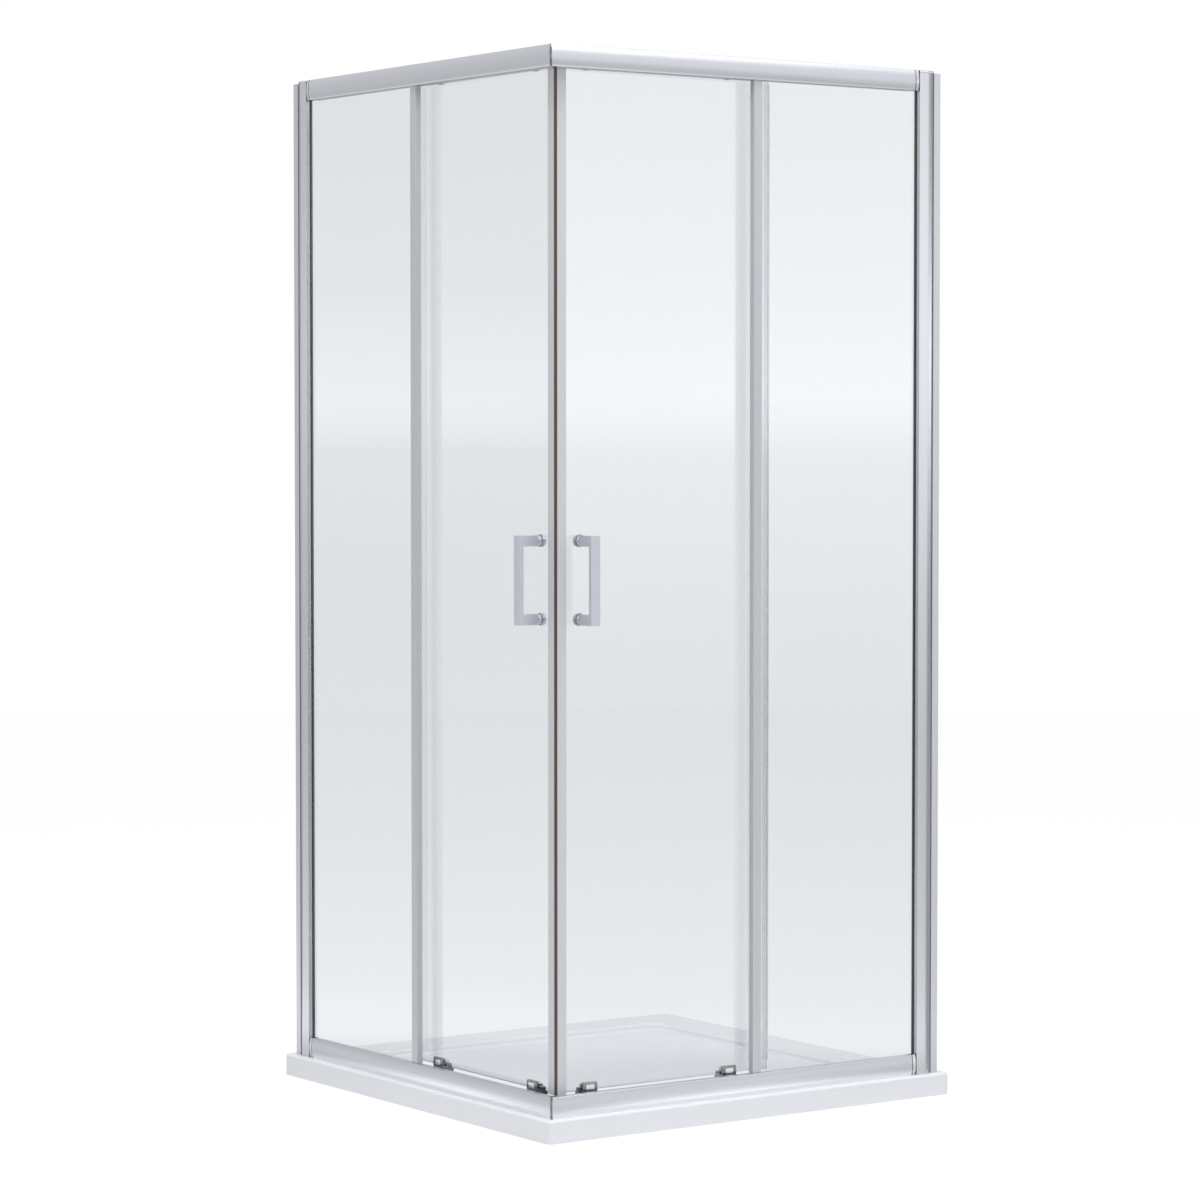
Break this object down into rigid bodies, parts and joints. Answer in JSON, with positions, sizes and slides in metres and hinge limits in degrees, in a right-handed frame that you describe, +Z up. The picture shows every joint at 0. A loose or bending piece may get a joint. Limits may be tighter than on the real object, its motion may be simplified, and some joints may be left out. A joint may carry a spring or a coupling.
{
  "type": "corner entry shower enclosure",
  "caption": "Square corner entry shower enclosure on a low tray, with framed glass panels and doors that slide apart from the corner on grooved wheels.",
  "frame": {"origin": "on the floor under the middle of the tray", "axes": "+Z up; the walls stand at +X and +Y and the entry corner points to -X -Y"},
  "size_m": [0.9, 0.9, 1.89],
  "materials": {
    "tray_white": "glossy white acrylic",
    "polished_aluminium": "polished anodised",
    "chrome": "bright chrome",
    "clear_glass": "clear toughened glass",
    "brown_magnet": "matt magnetic strip",
    "dark_rubber": "matt",
    "clear_vinyl": "clear soft vinyl",
    "white_nylon": "moulded",
    "steel": "bright"
  },
  "bodies": {
    "frame": {"shower_tray": "tray_white", "post_caps": "chrome", "post_screws": "steel", "corner_joiners": "chrome", "rail_end_blocks": "chrome", "rail_infills": "polished_aluminium", "door_bumpers": "dark_rubber", "fin_seals": "clear_vinyl", "glazing_gaskets": "dark_rubber", "right_wall_channel": "polished_aluminium", "right_wall_post": "polished_aluminium", "right_bottom_rail": "polished_aluminium", "right_top_rail": "polished_aluminium", "right_fixed_glass": "clear_glass", "right_fixed_edge_profile": "polished_aluminium", "left_wall_channel": "polished_aluminium", "left_wall_post": "polished_aluminium", "left_bottom_rail": "polished_aluminium", "left_top_rail": "polished_aluminium", "left_fixed_glass": "clear_glass", "left_fixed_edge_profile": "polished_aluminium"},
    "waste_cover": {"waste_cover": "chrome"},
    "right_door": {"right_door_glass": "clear_glass", "right_closing_profile": "polished_aluminium", "right_magnet_strip": "brown_magnet", "right_rear_seal": "clear_vinyl", "right_handle": "chrome", "right_handle_caps": "chrome", "right_handle_screws": "steel", "right_top_roller_bolts": "steel", "right_top_roller_caps": "chrome", "right_front_clip_housing": "chrome", "right_front_release_spring": "steel", "right_rear_clip_housing": "chrome", "right_rear_release_spring": "steel"},
    "left_door": {"left_door_glass": "clear_glass", "left_closing_profile": "polished_aluminium", "left_magnet_strip": "brown_magnet", "left_rear_seal": "clear_vinyl", "left_handle": "chrome", "left_handle_caps": "chrome", "left_handle_screws": "steel", "left_top_roller_bolts": "steel", "left_top_roller_caps": "chrome", "left_front_clip_housing": "chrome", "left_front_release_spring": "steel", "left_rear_clip_housing": "chrome", "left_rear_release_spring": "steel"},
    "right_front_top_wheel": {"right_front_top_wheel": "white_nylon"},
    "right_front_release_button": {"right_front_release_button": "chrome"},
    "right_front_bottom_wheel": {"right_front_bottom_wheel": "white_nylon"},
    "right_rear_top_wheel": {"right_rear_top_wheel": "white_nylon"},
    "right_rear_release_button": {"right_rear_release_button": "chrome"},
    "right_rear_bottom_wheel": {"right_rear_bottom_wheel": "white_nylon"},
    "left_front_top_wheel": {"left_front_top_wheel": "white_nylon"},
    "left_front_release_button": {"left_front_release_button": "chrome"},
    "left_front_bottom_wheel": {"left_front_bottom_wheel": "white_nylon"},
    "left_rear_top_wheel": {"left_rear_top_wheel": "white_nylon"},
    "left_rear_release_button": {"left_rear_release_button": "chrome"},
    "left_rear_bottom_wheel": {"left_rear_bottom_wheel": "white_nylon"}
  },
  "joints": [
    {"name": "waste_cover_lift", "type": "slide", "parent": "frame", "child": "waste_cover", "axis": [0, 0, 1], "range_m": [0, 0.03]},
    {"name": "right_door_slide", "type": "slide", "parent": "frame", "child": "right_door", "axis": [1, 0, 0], "range_m": [0, 0.31]},
    {"name": "right_front_top_wheel_spin", "type": "hinge", "parent": "right_door", "child": "right_front_top_wheel", "pos_m": [-0.334, -0.40925, 1.8662], "axis": [0, 1, 0], "continuous": true},
    {"name": "right_front_release_button_press", "type": "slide", "parent": "right_door", "child": "right_front_release_button", "axis": [0, 0, -1], "range_m": [0, 0.005], "stiffness_N_per_m": 600, "springref_m": -0.004, "deforming": ["right_front_release_spring"]},
    {"name": "right_front_bottom_wheel_spin", "type": "hinge", "parent": "right_front_release_button", "child": "right_front_bottom_wheel", "pos_m": [-0.334, -0.40925, 0.0613], "axis": [0, 1, 0], "continuous": true},
    {"name": "right_rear_top_wheel_spin", "type": "hinge", "parent": "right_door", "child": "right_rear_top_wheel", "pos_m": [-0.03, -0.40925, 1.8662], "axis": [0, 1, 0], "continuous": true},
    {"name": "right_rear_release_button_press", "type": "slide", "parent": "right_door", "child": "right_rear_release_button", "axis": [0, 0, -1], "range_m": [0, 0.005], "stiffness_N_per_m": 600, "springref_m": -0.004, "deforming": ["right_rear_release_spring"]},
    {"name": "right_rear_bottom_wheel_spin", "type": "hinge", "parent": "right_rear_release_button", "child": "right_rear_bottom_wheel", "pos_m": [-0.03, -0.40925, 0.0613], "axis": [0, 1, 0], "continuous": true},
    {"name": "left_door_slide", "type": "slide", "parent": "frame", "child": "left_door", "axis": [0, 1, 0], "range_m": [0, 0.31]},
    {"name": "left_front_top_wheel_spin", "type": "hinge", "parent": "left_door", "child": "left_front_top_wheel", "pos_m": [-0.40925, -0.334, 1.8662], "axis": [1, 0, 0], "continuous": true},
    {"name": "left_front_release_button_press", "type": "slide", "parent": "left_door", "child": "left_front_release_button", "axis": [0, 0, -1], "range_m": [0, 0.005], "stiffness_N_per_m": 600, "springref_m": -0.004, "deforming": ["left_front_release_spring"]},
    {"name": "left_front_bottom_wheel_spin", "type": "hinge", "parent": "left_front_release_button", "child": "left_front_bottom_wheel", "pos_m": [-0.40925, -0.334, 0.0613], "axis": [1, 0, 0], "continuous": true},
    {"name": "left_rear_top_wheel_spin", "type": "hinge", "parent": "left_door", "child": "left_rear_top_wheel", "pos_m": [-0.40925, -0.03, 1.8662], "axis": [1, 0, 0], "continuous": true},
    {"name": "left_rear_release_button_press", "type": "slide", "parent": "left_door", "child": "left_rear_release_button", "axis": [0, 0, -1], "range_m": [0, 0.005], "stiffness_N_per_m": 600, "springref_m": -0.004, "deforming": ["left_rear_release_spring"]},
    {"name": "left_rear_bottom_wheel_spin", "type": "hinge", "parent": "left_rear_release_button", "child": "left_rear_bottom_wheel", "pos_m": [-0.40925, -0.03, 0.0613], "axis": [1, 0, 0], "continuous": true}
  ],
  "couplings": [
    {"joint": "right_front_top_wheel_spin", "follows": "right_door_slide", "rad_per_m": 125},
    {"joint": "right_front_bottom_wheel_spin", "follows": "right_door_slide", "rad_per_m": -153.85},
    {"joint": "right_rear_top_wheel_spin", "follows": "right_door_slide", "rad_per_m": 125},
    {"joint": "right_rear_bottom_wheel_spin", "follows": "right_door_slide", "rad_per_m": -153.85},
    {"joint": "left_front_top_wheel_spin", "follows": "left_door_slide", "rad_per_m": -125},
    {"joint": "left_front_bottom_wheel_spin", "follows": "left_door_slide", "rad_per_m": 153.85},
    {"joint": "left_rear_top_wheel_spin", "follows": "left_door_slide", "rad_per_m": -125},
    {"joint": "left_rear_bottom_wheel_spin", "follows": "left_door_slide", "rad_per_m": 153.85}
  ]
}
